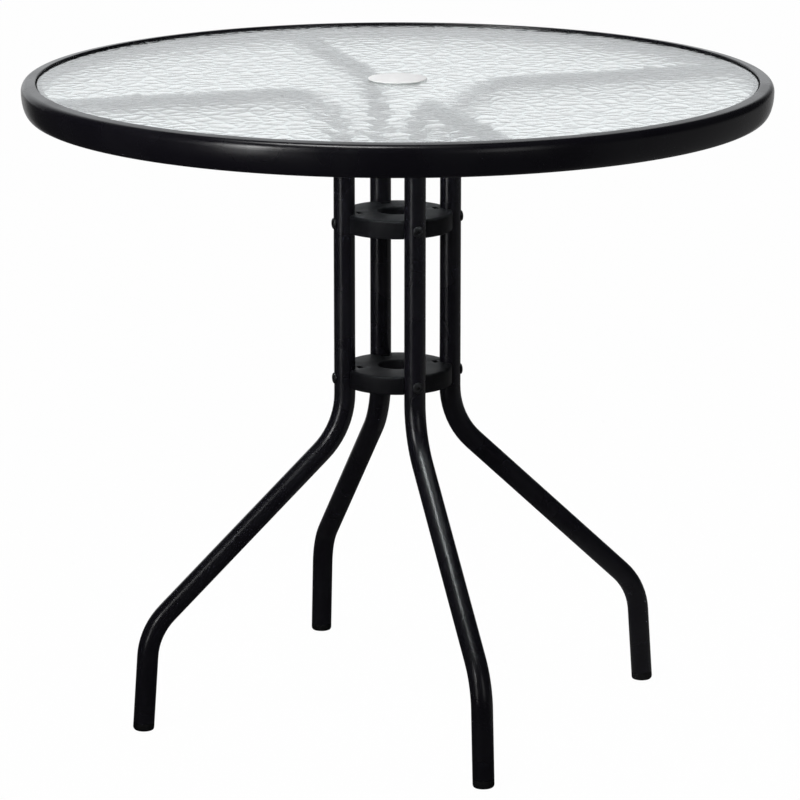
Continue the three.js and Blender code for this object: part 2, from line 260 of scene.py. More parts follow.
def makeGrainGroup():
    # A fine grain for the bump, and a slow change of tone and of gloss
    group = bpy.data.node_groups.new('surfaceGrain', 'ShaderNodeTree')
    for name in ('Grain Scale', 'Tone Scale', 'Gloss Low', 'Gloss High'):
        group.interface.new_socket(name, in_out='INPUT', socket_type='NodeSocketFloat')
    for name in ('Height', 'Tone', 'Gloss'):
        group.interface.new_socket(name, in_out='OUTPUT', socket_type='NodeSocketFloat')
    entry = group.nodes.new('NodeGroupInput')
    leave = group.nodes.new('NodeGroupOutput')
    place = group.nodes.new('ShaderNodeTexCoord').outputs['Object']
    grain = addNode(group, 'ShaderNodeTexNoise', Detail=grainLook['grainDetail'],
                    Roughness=grainLook['grainRoughness'])
    tone = addNode(group, 'ShaderNodeTexNoise', Detail=grainLook['toneDetail'],
                   Roughness=grainLook['toneRoughness'])
    for noise, name in ((grain, 'Grain Scale'), (tone, 'Tone Scale')):
        group.links.new(place, noise.inputs['Vector'])
        group.links.new(entry.outputs[name], noise.inputs['Scale'])
    toneValue = rangeNode(group, tone.outputs['Fac'], *grainLook['toneRange'], 0.0, 1.0)
    gloss = addNode(group, 'ShaderNodeMapRange')
    group.links.new(toneValue, gloss.inputs['Value'])
    group.links.new(entry.outputs['Gloss Low'], gloss.inputs['To Min'])
    group.links.new(entry.outputs['Gloss High'], gloss.inputs['To Max'])
    group.links.new(grain.outputs['Fac'], leave.inputs['Height'])
    group.links.new(toneValue, leave.inputs['Tone'])
    group.links.new(gloss.outputs['Result'], leave.inputs['Gloss'])
    return group


grainGroup = makeGrainGroup()


def startMaterial(name, **plain):
    material = bpy.data.materials.new(name)
    material.use_nodes = True
    tree = material.node_tree
    shader = tree.nodes['Principled BSDF']
    for socket, value in plain.items():
        shader.inputs[socket.replace('_', ' ')].default_value = value
    return material, tree, shader


def grainMaterial(look):
    # A finish whose tone and gloss wander a little, with a fine grain in its normals
    material, tree, shader = startMaterial(look['name'], Metallic=look['metallic'],
                                           Specular_IOR_Level=look['specular'])
    grain = tree.nodes.new('ShaderNodeGroup')
    grain.node_tree = grainGroup
    grain.inputs['Grain Scale'].default_value = 1 / look['grainSize']
    grain.inputs['Tone Scale'].default_value = 1 / look['toneSize']
    grain.inputs['Gloss Low'].default_value = look['roughness'][0]
    grain.inputs['Gloss High'].default_value = look['roughness'][1]
    tree.links.new(colourMix(tree, grain.outputs['Tone'], *look['colours']),
                   shader.inputs['Base Color'])
    tree.links.new(grain.outputs['Gloss'], shader.inputs['Roughness'])
    bump = addNode(tree, 'ShaderNodeBump', Strength=1.0, Distance=look['grainDepth'])
    tree.links.new(grain.outputs['Height'], bump.inputs['Height'])
    tree.links.new(bump.outputs['Normal'], shader.inputs['Normal'])
    return material


blackCoat = grainMaterial({
    'name': 'blackPowderCoat', 'metallic': 0.0, 'specular': 0.4,
    'colours': ((0.0034, 0.003, 0.0052), (0.0045, 0.0041, 0.0065)),
    'roughness': (0.25, 0.3), 'toneSize': 0.06, 'grainSize': 0.0011, 'grainDepth': 0.00003,
})
hubPlastic = grainMaterial({
    'name': 'blackMouldedPlastic', 'metallic': 0.0, 'specular': 0.12,
    'colours': ((0.003, 0.003, 0.0042), (0.0052, 0.0052, 0.0066)),
    'roughness': (0.5, 0.58), 'toneSize': 0.03, 'grainSize': 0.0007, 'grainDepth': 0.00006,
})
footPlastic = grainMaterial({
    'name': 'blackFootPlastic', 'metallic': 0.0, 'specular': 0.3,
    'colours': ((0.0026, 0.0026, 0.0034), (0.0046, 0.0046, 0.0056)),
    'roughness': (0.5, 0.6), 'toneSize': 0.012, 'grainSize': 0.0006, 'grainDepth': 0.00004,
})
gasketRubber = grainMaterial({
    'name': 'blackRubber', 'metallic': 0.0, 'specular': 0.08,
    'colours': ((0.002, 0.002, 0.002), (0.004, 0.004, 0.004)),
    'roughness': (0.6, 0.75), 'toneSize': 0.02, 'grainSize': 0.0008, 'grainDepth': 0.00005,
})
capPlastic = grainMaterial({
    'name': 'paleCapPlastic', 'metallic': 0.0, 'specular': 0.45,
    'colours': ((0.82, 0.82, 0.82), (0.86, 0.86, 0.86)),
    'roughness': (0.35, 0.42), 'toneSize': 0.02, 'grainSize': 0.0012, 'grainDepth': 0.00002,
})
# The pads are clear vinyl; their colour is painted near black as painted shade, for the dark edge
# they show under the glass
padVinylPaintedShade = grainMaterial({
    'name': 'padVinylPaintedShade', 'metallic': 0.0, 'specular': 0.04,
    'colours': ((0.012, 0.013, 0.013), (0.022, 0.023, 0.023)),
    'roughness': (0.55, 0.65), 'toneSize': 0.005, 'grainSize': 0.0008, 'grainDepth': 0.00002,
})
blackSteel = grainMaterial({
    'name': 'blackenedSteel', 'metallic': 0.35, 'specular': 0.3,
    'colours': ((0.008, 0.008, 0.009), (0.02, 0.02, 0.022)),
    'roughness': (0.28, 0.38), 'toneSize': 0.004, 'grainSize': 0.0005, 'grainDepth': 0.00001,
})

ripple = {
    'cell': 0.019,  # width of one pebble of the pattern
    'randomness': 0.95,
    'warpCell': 0.03,
    'warpDetail': 1.0,
    'warp': 0.009,
    'crease': 0.14,  # half the width of a crease, as a share of the pebble
    'domeReach': 0.5,  # from the crease to the top of the dome, as a share of the pebble
    'creaseShare': 0.5,  # of the height; the rest domes the whole pebble
    'depth': 0.00021,  # of the relief in the mesh
    'fineDepth': 0.00009,  # of the same relief in the normals
    'topStart': (0.0019, 0.0029),  # above the underside, where the rippled face begins
    'flatAtHole': (0.008, 0.012),  # from the hole, where the relief grows
    'flatAtEdge': (0.0042, 0.0008),  # from the edge, where it fades
}


def rippleHeight(tree, place):
    # The same pattern shapes the glass, sharpens its creases in the material, and paints shade into
    # the creases of its colour
    warp = addNode(tree, 'ShaderNodeTexNoise', Scale=1 / ripple['warpCell'],
                   Detail=ripple['warpDetail'])
    tree.links.new(place, warp.inputs['Vector'])
    offset = vectorNode(tree, 'SUBTRACT', warp.outputs['Color'], (0.5, 0.5, 0.5))
    shift = vectorNode(tree, 'SCALE', offset, scale=2 * ripple['warp'])
    warped = vectorNode(tree, 'ADD', place, shift)
    cells = addNode(tree, 'ShaderNodeTexVoronoi', Scale=1 / ripple['cell'],
                    Randomness=ripple['randomness'])
    cells.voronoi_dimensions = '2D'
    cells.feature = 'DISTANCE_TO_EDGE'
    tree.links.new(warped, cells.inputs['Vector'])
    distance = cells.outputs['Distance']
    crease = rangeNode(tree, distance, 0.0, ripple['crease'], 0.0, ripple['creaseShare'])
    dome = rangeNode(tree, distance, 0.0, ripple['domeReach'], 0.0, 1 - ripple['creaseShare'])
    return mathNode(tree, 'ADD', crease, dome)


glass = {
    'recess': 0.0024,  # below the top of the rim
    'thickness': 0.006,
    'holeRadius': 0.025,
    'edgeRound': 0.0007,
    'edgeSteps': 3,
    'border': 0.002,  # flat ring on the underside, which keeps its shading level
    'rings': (48, 2),  # cuts of the first and the second subdivision
    'holeRing': 10,  # the ring of the disc that becomes the edge of the hole
}
glassLook = {
    # The glass's tint, darkened in the creases as painted shade and lighter on the domes
    'colours': ((0.9, 0.98, 0.975), (0.972, 1.0, 0.995)),  # in the creases and on the domes
    'roughness': (0.065, 0.11),
    'mottleSize': 0.03,
    'mottleDetail': 2.0,
    'mottleRange': (0.3, 0.7),  # of the noise, spread over the whole change of roughness
    'ior': 1.5,
    'shadow': (0.85, 0.88, 0.87, 1),  # what is left of a lamp's light behind the glass
}
glassTop = table['height'] - glass['recess']
glassBottom = glassTop - glass['thickness']


def makeGlassMaterial():
    material, tree, shader = startMaterial('rippledGlass', Metallic=0.0, Transmission_Weight=1.0,
                                           IOR=glassLook['ior'])
    place = tree.nodes.new('ShaderNodeTexCoord').outputs['Object']
    height = rippleHeight(tree, place)
    # The ripple paints shade into the creases of the glass's colour and leaves the domes lighter
    tree.links.new(colourMix(tree, height, *glassLook['colours']), shader.inputs['Base Color'])
    mottle = addNode(tree, 'ShaderNodeTexNoise', Scale=1 / glassLook['mottleSize'],
                     Detail=glassLook['mottleDetail'])
    tree.links.new(place, mottle.inputs['Vector'])
    roughness = rangeNode(tree, mottle.outputs['Fac'], *glassLook['mottleRange'],
                          *glassLook['roughness'])
    tree.links.new(roughness, shader.inputs['Roughness'])
    bump = addNode(tree, 'ShaderNodeBump', Strength=1.0, Distance=ripple['fineDepth'])
    split = tree.nodes.new('ShaderNodeSeparateXYZ')
    tree.links.new(place, split.inputs[0])
    start = [glassBottom + rise for rise in ripple['topStart']]
    upper = rangeNode(tree, split.outputs['Z'], *start, 0.0, 1.0)
    tree.links.new(mathNode(tree, 'MULTIPLY', height, upper), bump.inputs['Height'])
    tree.links.new(bump.outputs['Normal'], shader.inputs['Normal'])
    # Lamps shine through the glass onto what is under it
    clear = addNode(tree, 'ShaderNodeBsdfTransparent', Color=glassLook['shadow'])
    light = tree.nodes.new('ShaderNodeLightPath')
    mix = tree.nodes.new('ShaderNodeMixShader')
    tree.links.new(light.outputs['Is Shadow Ray'], mix.inputs[0])
    tree.links.new(shader.outputs[0], mix.inputs[1])
    tree.links.new(clear.outputs[0], mix.inputs[2])
    tree.links.new(mix.outputs[0], tree.nodes['Material Output'].inputs['Surface'])
    return material


rippledGlass = makeGlassMaterial()
print('materials made')


# Rim

rim = {
    'height': 0.0345,
    'wall': 0.0012,
    'width': 0.022,
    'topWidth': 0.0154,
    'ledgeOverhang': 0.001,  # of the ledge's tip past the inner wall
    'seam': 0.0006,  # between the top of the inner wall and the ledge
    'lipRound': 0.0014,
    'topTilt': 7,  # degrees by which the top face falls outwards
    'topRound': (0.0065, 0.0084),  # across and up
    'outerRound': 0.025,
    'innerRound': 0.01,
    'keelShare': 0.545,  # where the lowest line lies between the inner and the outer side
    'steps': 256,
    'lipSteps': 8,
    'topSteps': 14,
    'outerSteps': 12,
    'innerSteps': 8,
}
gasket = {
    'base': 0.0012,
    'lip': 0.0008,
    'lipSteps': 6,
    'steps': 256,
}
recessRadius = table['radius'] - rim['topWidth']
ledgeTip = table['radius'] - rim['width']
innerRadius = ledgeTip + rim['ledgeOverhang']
ledgeTop = glassBottom - 2 * table['gap'] - gasket['base']
gasketRadius = recessRadius - table['gap']
glassRadius = gasketRadius - gasket['lip'] - table['gap']


def makeRim():
    height, radius = table['height'], table['radius']
    bottom = height - rim['height']
    keel = innerRadius + (radius - innerRadius) * rim['keelShare']
    lip, (topWidth, topHeight), tilt = rim['lipRound'], rim['topRound'], rim['topTilt']
    edge = height - (radius - topWidth - recessRadius - lip) * tan(radians(tilt))
    top = (radius - topWidth, edge - topHeight)
    shoulder = (keel, bottom + rim['outerRound'])
    hollow = (keel, bottom + rim['innerRound'])
    points = [
        (ledgeTip, ledgeTop),
        (recessRadius, ledgeTop),
        *arcPoints((recessRadius + lip, height - lip), lip, lip, 180, 90 - tilt, rim['lipSteps']),
        *arcPoints(top, topWidth, topHeight, 90 - tilt / 2, 0, rim['topSteps']),
        *arcPoints(shoulder, radius - keel, rim['outerRound'], 0, -90, rim['outerSteps']),
        *arcPoints(hollow, keel - innerRadius, rim['innerRound'], -90, -180,
                   rim['innerSteps'])[1:],
        (innerRadius, ledgeTop - rim['wall'] - rim['seam']),
    ]
    piece = spinPiece('rimShell', points, rim['steps'])
    addWall(piece, rim['wall'])
    smooth(piece)
    finishPiece(piece, blackCoat, 'rim')


def makeGasket():
    baseTop = glassBottom - table['gap']
    bottom = baseTop - gasket['base']
    lipRadius = gasketRadius - gasket['lip']
    half = gasket['lip'] / 2
    points = [
        (ledgeTip, bottom),
        (gasketRadius, bottom),
        *arcPoints((lipRadius + half, glassTop - half), half, half, 0, 180, gasket['lipSteps']),
        (lipRadius, baseTop),
        (ledgeTip, baseTop),
        (ledgeTip, bottom),
    ]
    piece = spinPiece('rimGasket', points, gasket['steps'])
    smooth(piece)
    finishPiece(piece, gasketRubber, 'rim_gasket')


makeRim()
makeGasket()
print('rim made')


# Glass

def addRippleModifier(piece):
    tree = bpy.data.node_groups.new('rippleRelief', 'GeometryNodeTree')
    tree.interface.new_socket('Geometry', in_out='INPUT', socket_type='NodeSocketGeometry')
    tree.interface.new_socket('Geometry', in_out='OUTPUT', socket_type='NodeSocketGeometry')
    entry = tree.nodes.new('NodeGroupInput')
    leave = tree.nodes.new('NodeGroupOutput')
    place = tree.nodes.new('GeometryNodeInputPosition').outputs[0]
    length = lengthNode(tree, vectorNode(tree, 'MULTIPLY', place, (1, 1, 0)))
    growing = [glass['holeRadius'] + reach for reach in ripple['flatAtHole']]
    fading = [glassRadius - reach for reach in ripple['flatAtEdge']]
    fadeIn = rangeNode(tree, length, *growing, 0.0, 1.0)
    fadeOut = rangeNode(tree, length, *fading, 1.0, 0.0)
    dip = mathNode(tree, 'SUBTRACT', rippleHeight(tree, place), 1.0)
    dip = mathNode(tree, 'MULTIPLY', dip, mathNode(tree, 'MULTIPLY', fadeIn, fadeOut))
    offset = tree.nodes.new('ShaderNodeCombineXYZ')
    tree.links.new(mathNode(tree, 'MULTIPLY', dip, ripple['depth']), offset.inputs['Z'])
    move = tree.nodes.new('GeometryNodeSetPosition')
    tree.links.new(entry.outputs[0], move.inputs['Geometry'])
    tree.links.new(offset.outputs[0], move.inputs['Offset'])
    tree.links.new(move.outputs[0], leave.inputs[0])
    applyModifier(piece, 'NODES', node_group=tree)


def ringRadius(share, rings):
    # The hexagon's rings become circles, and one of them becomes the edge of the hole
    ring, holeRing = share * rings, glass['holeRing']
    hole = glass['holeRadius'] + glass['edgeRound']
    edge = glassRadius - glass['edgeRound']
    if ring < holeRing:
        return hole * ring / holeRing
    return hole + (edge - hole) * (ring - holeRing) / (rings - holeRing)


def hexShare(x, y, radius):
    # How far out a point lies in the hexagon: 0 in the middle, 1 on its sides
    reach = max(abs(x * cos(a) + y * sin(a)) for a in (pi / 6, pi / 2, 5 * pi / 6))
    return reach / (radius * cos(pi / 6))


def extrudeRing(radius, newRadius, drop):
    extrude((0, 0, drop))
    factor = newRadius / radius
    bpy.ops.transform.resize(value=(factor, factor, 1), center_override=(0, 0, 0))


def extrudeEdge(radius, sign):
    # The rounded edge of the glass, from the top face down to the underside
    rounding, thickness = glass['edgeRound'], glass['thickness']
    start = radius - sign * rounding
    steps = [radians(90 * (i + 1) / glass['edgeSteps']) for i in range(glass['edgeSteps'])]
    path = [(start + sign * rounding * sin(a), rounding * (cos(a) - 1)) for a in steps]
    path += [(r, -thickness - z) for r, z in reversed(path)] + [(start, -thickness)]
    path += [(start - sign * glass['border'], -thickness)]
    here = (start, 0)
    for step in path:
        extrudeRing(here[0], step[0], step[1] - here[1])
        here = step


def makeGlass():
    deselectAll()
    bpy.ops.mesh.primitive_circle_add(vertices=6, radius=glassRadius, fill_type='TRIFAN',
                                      location=(0, 0, glassTop))
    piece = startPiece('glassTop')
    rings = 1
    for cuts in glass['rings']:
        bpy.ops.mesh.subdivide(number_cuts=cuts)
        rings *= cuts + 1
    mesh = bmesh.from_edit_mesh(piece.data)
    corner = max(mesh.verts, key=lambda vertex: vertex.co.xy.length).co
    cornerTurn = atan2(corner.y, corner.x)
    across, up = cos(cornerTurn), sin(cornerTurn)
    for vertex in mesh.verts:
        x, y = vertex.co.xy
        share = hexShare(x * across + y * up, y * across - x * up, glassRadius)
        if share > 0:
            vertex.co.xy = vertex.co.xy.normalized() * ringRadius(share, rings)
    bmesh.update_edit_mesh(piece.data)
    hole = glass['holeRadius'] + glass['edgeRound']
    halfRing = hole / glass['holeRing'] / 2
    pick('VERT', lambda vertex: vertex.co.xy.length < hole - halfRing)
    bpy.ops.mesh.delete(type='VERT')
    bpy.ops.object.mode_set(mode='OBJECT')
    addRippleModifier(piece)
    bpy.ops.object.mode_set(mode='EDIT')
    pick('EDGE', lambda edge: edge.is_boundary and edge.verts[0].co.xy.length > 2 * hole)
    extrudeEdge(glassRadius, 1)
    pick('EDGE', lambda edge: edge.is_boundary and edge.verts[0].co.xy.length < 2 * hole)
    extrudeEdge(glass['holeRadius'], -1)
    pick('EDGE', lambda edge: edge.is_boundary)
    bpy.ops.mesh.bridge_edge_loops()
    cleanMesh()
    smooth(piece)
    finishPiece(piece, rippledGlass, 'glass_top')


makeGlass()
print('glass made')


# Plug

cap = {
    'radius': 0.0315,
    'edge': 0.0016,
    'domeHeight': 0.0048,  # of the crown above the glass
    'domePower': 2.6,
    'skirtTaper': 0.0006,
    'skirtLength': 0.013,
    'wall': 0.0019,
    'cornerRound': 0.0005,
    'steps': 96,
    'domeSteps': 12,
    'edgeSteps': 8,
    'cornerSteps': 3,
    'insideSteps': 5,
}


def makeCap():
    seat, crown = glassTop + table['gap'], glassTop + cap['domeHeight']
    half, skirt = cap['edge'] / 2, glass['holeRadius'] - table['gap']
    flat = cap['radius'] - half
    rise = crown - seat - cap['edge']
    steps = cap['domeSteps']
    dome = [(flat * i / steps, seat + cap['edge'] + rise * (1 - (i / steps) ** cap['domePower']))
            for i in range(steps)]
    skirtBottom = seat - cap['skirtLength']
    tip = skirt - cap['skirtTaper']
    wall, corner = cap['wall'], cap['cornerRound']
    inside = crown - wall
    points = [
        *dome,
        *arcPoints((flat, seat + half), half, half, 90, -90, cap['edgeSteps']),
        (skirt + corner, seat),
        (skirt, seat - corner),
        *arcPoints((tip - corner, skirtBottom + corner), corner, corner, 0, -90,
                   cap['cornerSteps']),
        (tip - wall + corner, skirtBottom),
        (tip - wall, skirtBottom + corner),
        *arcPoints((skirt - 2 * wall, inside - wall), wall, wall, 0, 90, cap['insideSteps']),
        (0, inside),
    ]
    piece = spinPiece('holeCap', points, cap['steps'])
    smooth(piece)
    finishPiece(piece, capPlastic, 'hole_cap', body='cap')


makeCap()
print('cap made')


# Legs, with their pads, feet and brackets

leg = {
    'tubeRadius': 0.0115,
    'wall': 0.0012,
    'sides': 40,
    'endRoom': 0.0041,  # from the end of the arm to the inner wall of the rim
    'uprightRadius': 0.06,
    'armBend': 0.07,
    'kneeHeight': 0.3205,
    'kneeBend': 0.088,
    'ankleRadius': 0.282,
    'ankleHeight': 0.1096,
    'ankleBend': 0.072,
    'footRadius': 0.29,
    'bendStep': radians(5),
    'armBoltInset': 0.015,  # from the end of the arm
}
pad = {
    'radius': 0.005,
    'thickness': 0.0017,
    'inset': 0.0972,  # from the edge of the glass
    'bevel': 0.0003,
    'sides': 32,
}
armEnd = innerRadius - leg['endRoom']
armHeight = glassBottom - 2 * table['gap'] - pad['thickness'] - leg['tubeRadius']
kneeTurn = atan2(leg['ankleRadius'] - leg['uprightRadius'], leg['kneeHeight'] - leg['ankleHeight'])
kneeTop = leg['kneeHeight'] + leg['kneeBend'] * tan(kneeTurn / 2)
footTilt = atan2(leg['footRadius'] - leg['ankleRadius'], leg['ankleHeight'])


def makeLeg():
    footEnd = foot['height'] + table['gap']
    corners = [Vector(corner) for corner in (
        (armEnd, 0, armHeight),
        (leg['uprightRadius'], 0, armHeight),
        (leg['uprightRadius'], 0, leg['kneeHeight']),
        (leg['ankleRadius'], 0, leg['ankleHeight']),
        (leg['footRadius'] - footEnd * sin(footTilt), 0, footEnd * cos(footTilt)),
    )]
    headings = [(b - a).normalized() for a, b in zip(corners, corners[1:])]
    deselectAll()
    bpy.ops.mesh.primitive_circle_add(vertices=leg['sides'], radius=leg['tubeRadius'],
                                      location=corners[0], rotation=(0, pi / 2, 0))
    piece = startPiece('legTube')
    here = corners[0]
    for corner, before, after, bend in zip(corners[1:], headings, headings[1:],
                                           (leg['armBend'], leg['kneeBend'], leg['ankleBend'])):
        turn = before.angle(after)
        axis = before.cross(after).normalized()
        start = corner - before * bend * tan(turn / 2)
        centre = start + axis.cross(before) * bend
        extrude(start - here)
        bpy.ops.mesh.spin(steps=ceil(turn / leg['bendStep']), angle=-turn, center=centre, axis=axis)
        here = corner + after * bend * tan(turn / 2)
    extrude(corners[-1] - here)
    cleanMesh()
    addWall(piece, leg['wall'])
    hole, through = bolt['radius'] + table['gap'], leg['tubeRadius'] * 3
    spot = leg['uprightRadius'] + leg['tubeRadius'] - bolt['spotDepth'] + leg['tubeRadius'] / 2
    cutters = [barCutter(hole, through, (leg['uprightRadius'], 0, bottom + boltHeight),
                         (0, pi / 2, 0)) for name, node, bottom in hubs]
    cutters += [barCutter(bolt['spotRadius'], leg['tubeRadius'], (spot, 0, bottom + boltHeight),
                          (0, pi / 2, 0), bolt['spotSides']) for name, node, bottom in hubs]
    cutters.append(barCutter(hole, leg['tubeRadius'],
                             (armBoltRadius, 0, armHeight - leg['tubeRadius'])))
    cutAway(piece, cutters)
    smooth(piece)
    return piece


def makePad():
    # A short pillar from the middle of the arm, whose lower part the tube cuts away
    top = armHeight + leg['tubeRadius'] + table['gap'] + pad['thickness']
    x = glassRadius - pad['inset']
    piece = barCutter(pad['radius'], top - armHeight, (x, 0, (armHeight + top) / 2),
                      sides=pad['sides'])
    bevelEdges(piece, pad['bevel'])
    cutAway(piece, [barCutter(leg['tubeRadius'] + table['gap'], 4 * pad['radius'],
                              (x, 0, armHeight), (0, pi / 2, 0), leg['sides'])])
    smooth(piece)
    return piece


foot = {
    'height': 0.008,
    'round': 0.003,
    'stemLength': 0.018,
    'edgeRound': 0.0004,
    'steps': 48,
    'roundSteps': 8,
    'edgeSteps': 3,
}


def makeFoot():
    # Drawn to reach below the floor by as much as its tilt lifts its edge, then cut off level
    radius, rounding = leg['tubeRadius'], foot['round']
    edge, height = foot['edgeRound'], foot['height']
    stem = radius - leg['wall'] - table['gap']
    dip = radius * tan(footTilt)
    top = height + foot['stemLength']
    points = [
        (0, -dip),
        *arcPoints((radius - rounding, rounding), rounding, rounding + dip, -90, 0,
                   foot['roundSteps']),
        *arcPoints((radius - edge, height - edge), edge, edge, 0, 90, foot['edgeSteps']),
        (stem, height),
        (stem, top - edge),
        (stem - edge, top),
        (0, top),
    ]
    piece = spinPiece('footPlug', points, foot['steps'])
    piece.rotation_euler.y = -footTilt
    piece.location.x = leg['footRadius']
    placeInMesh(piece)
    bpy.ops.object.mode_set(mode='EDIT')
    bpy.ops.mesh.select_all(action='SELECT')
    bpy.ops.mesh.bisect(plane_co=(0, 0, 0), plane_no=(0, 0, 1), use_fill=True,
                        clear_inner=True, threshold=table['mergeDistance'])
    cleanMesh()
    smooth(piece)
    return piece


bracket = {
    'plateWidth': 0.02,
    'plateHeight': 0.016,
    'plateThickness': 0.003,
    'tongueLength': 0.03,
    'tongueWidth': 0.014,
    'tongueThickness': 0.003,
    'bevel': 0.0004,
}


def makeBracket():
    # The tongue reaches from the plate into the arm, towards the axis of the table
    inner = armEnd + table['gap']
    outer = inner + bracket['plateThickness']
    top = ledgeTop - rim['wall'] - 2 * table['gap']
    half, thick = bracket['tongueWidth'] / 2, bracket['tongueThickness'] / 2
    piece = blockCutter((armEnd - bracket['tongueLength'], -half, armHeight - thick),
                        (inner, half, armHeight + thick))
    bpy.ops.object.mode_set(mode='EDIT')
    pick('FACE', lambda face: face.normal.x > table['facing'])
    extrude((outer - inner, 0, 0))
    cleanMesh()
    plate = blockCutter((inner, -bracket['plateWidth'] / 2, top - bracket['plateHeight']),
                        (outer, bracket['plateWidth'] / 2, top))
    applyModifier(piece, 'BOOLEAN', object=plate, operation='UNION', solver='EXACT')
    bpy.data.objects.remove(plate)
    bevelEdges(piece, bracket['bevel'])
    cutAway(piece, [barCutter(bolt['radius'] + table['gap'], 4 * thick,
                              (armBoltRadius, 0, armHeight))])
    smooth(piece)
    return piece


# Hubs, bolts and nuts

hub = {
    'reveal': 0.001,  # of the middle of the uprights past the edge of the hub
    'thickness': 0.02,
    'boreRadius': 0.021,
    'boreRound': 0.0015,
    'topRound': 0.003,
    'bottomRound': 0.0012,
    'web': 0.0025,
    'upperDrop': 0.0523,  # of the upper hub below the bend of the arm
    'lowerRise': 0.0072,  # of the lower hub above the bend of the knee
    'edgeBevel': 0.0004,
    'bevelAngle': radians(50),
    'steps': 128,
    'boreSteps': 4,
    'bottomSteps': 4,
    'topSteps': 6,
    'notchSides': 64,
}
upperBottom = armHeight - leg['armBend'] - hub['upperDrop'] - hub['thickness']
hubs = (
    ('upperHub', 'upper_hub', upperBottom),
    ('lowerHub', 'lower_hub', kneeTop + hub['lowerRise']),
)
boltHeight = hub['thickness'] / 2

bolt = {
    'radius': 0.003,
    'headRadius': 0.006,
    'spotRadius': 0.0065,  # of the flat cut into the tube for the head
    'spotDepth': 0.0008,
    'spotSides': 48,
    'headHeight': 0.0024,
    'edgeHeight': 0.0009,
    'tipReach': 0.002,
    'tipBevel': 0.0005,
    'socketWidth': 0.004,
    'socketDepth': 0.002,
    'brimShare': 1 / 3,  # chamfer under the head, to that of the tip
    'crownShare': 1.12,  # radius of the flat crown, to that of the corners of the socket
    'crownSteps': 9,
    'steps': 48,
}
nut = {
    'width': 0.010,
    'thickness': 0.005,
    'bevel': 0.0005,
}
pocketOuter = leg['uprightRadius'] - leg['tubeRadius'] - table['gap'] - hub['web']
nutInner = pocketOuter - table['gap'] - nut['thickness']
nutCorner = nut['width'] / 2 / cos(pi / 6)
boltSeat = leg['uprightRadius'] + leg['tubeRadius'] + table['gap'] - bolt['spotDepth']
armBoltRadius = armEnd - leg['armBoltInset']


def makeHub():
    upright, gap = leg['uprightRadius'], table['gap']
    radius, thickness, bore = upright - hub['reveal'], hub['thickness'], hub['boreRadius']
    inner, top, bottom = hub['boreRound'], hub['topRound'], hub['bottomRound']
    points = [
        *arcPoints((bore + inner, inner), inner, inner, 180, 270, hub['boreSteps']),
        *arcPoints((radius - bottom, bottom), bottom, bottom, -90, 0, hub['bottomSteps']),
        *arcPoints((radius - top, thickness - top), top, top, 0, 90, hub['topSteps']),
        *arcPoints((bore + inner, thickness - inner), inner, inner, 90, 180, hub['boreSteps']),
        (bore, inner),
    ]
    piece = spinPiece('hub', points, hub['steps'])
    pocketHalf = nut['width'] / 2 + gap
    tip = nutInner - bolt['tipReach']
    for turn in legTurns.values():
        cutters = [
            barCutter(leg['tubeRadius'] + gap, 2 * thickness, (upright, 0, boltHeight),
                      sides=hub['notchSides']),
            blockCutter((nutInner - gap, -pocketHalf, boltHeight - nutCorner - gap),
                        (pocketOuter, pocketHalf, thickness + boltHeight)),
            barCutter(bolt['radius'] + gap, upright - tip, ((upright + tip) / 2, 0, boltHeight),
                      (0, pi / 2, 0)),
        ]
        for cutter in cutters:
            cutter.rotation_euler.z = turn
            placeInMesh(cutter)
        cutAway(piece, cutters)
    bevelEdges(piece, hub['edgeBevel'], hub['bevelAngle'])
    smooth(piece)
    return piece


def makeBolt(length):
    # The head rests at height zero, with the shank below
    radius, bevel = bolt['radius'], bolt['tipBevel']
    head, edge, brim = bolt['headRadius'], bolt['edgeHeight'], bevel * bolt['brimShare']
    socketRadius = bolt['socketWidth'] / 2 / cos(pi / 6)
    crown = socketRadius * bolt['crownShare']
    points = [
        (0, -length),
        (radius - bevel, -length),
        (radius, bevel - length),
        (radius, 0),
        (head - brim, 0),
        (head, brim),
        *arcPoints((crown, edge), head - crown, bolt['headHeight'] - edge, 0, 90,
                   bolt['crownSteps']),
        (0, bolt['headHeight']),
    ]
    piece = spinPiece('bolt', points, bolt['steps'])
    depth = 2 * bolt['socketDepth']
    middle = bolt['headHeight'] - bolt['socketDepth'] + depth / 2
    cutAway(piece, [barCutter(socketRadius, depth, (0, 0, middle), sides=6)])
    smooth(piece)
    return piece


def makeNut():
    # A hexagon nut that stands on height zero
    piece = barCutter(nutCorner, nut['thickness'], (0, 0, nut['thickness'] / 2), sides=6)
    bevelEdges(piece, nut['bevel'])
    cutAway(piece, [barCutter(bolt['radius'] + table['gap'], 2 * nut['thickness'], (0, 0, 0))])
    smooth(piece)
    return piece


# Copies on the legs

def moved(piece, name, location, rotation=(0, 0, 0)):
    copy = piece.copy()
    copy.data = piece.data.copy()
    copy.name = copy.data.name = name
    bpy.context.scene.collection.objects.link(copy)
    copy.location, copy.rotation_euler = location, rotation
    return placeInMesh(copy)


def placeOnLegs(piece, name, node, material):
    # The piece stands in the plane of the right leg: one copy goes to each leg
    for side, turn in legTurns.items():
        copy = moved(piece, name + side, (0, 0, 0), (0, 0, turn))
        finishPiece(copy, material, f'{node}_{side.lower()}')
    bpy.data.objects.remove(piece)


placeOnLegs(makeLeg(), 'leg', 'leg', blackCoat)
print('legs made')
placeOnLegs(makeFoot(), 'footPlug', 'foot_plug', footPlastic)
placeOnLegs(makePad(), 'armPad', 'arm_pad', padVinylPaintedShade)
placeOnLegs(makeBracket(), 'rimBracket', 'rim_bracket', blackCoat)
print('feet, pads and brackets made')

hubPiece = makeHub()
for hubName, node, bottom in hubs:
    finishPiece(moved(hubPiece, hubName, (0, 0, bottom)), hubPlastic, node)
bpy.data.objects.remove(hubPiece)
print('hubs made')

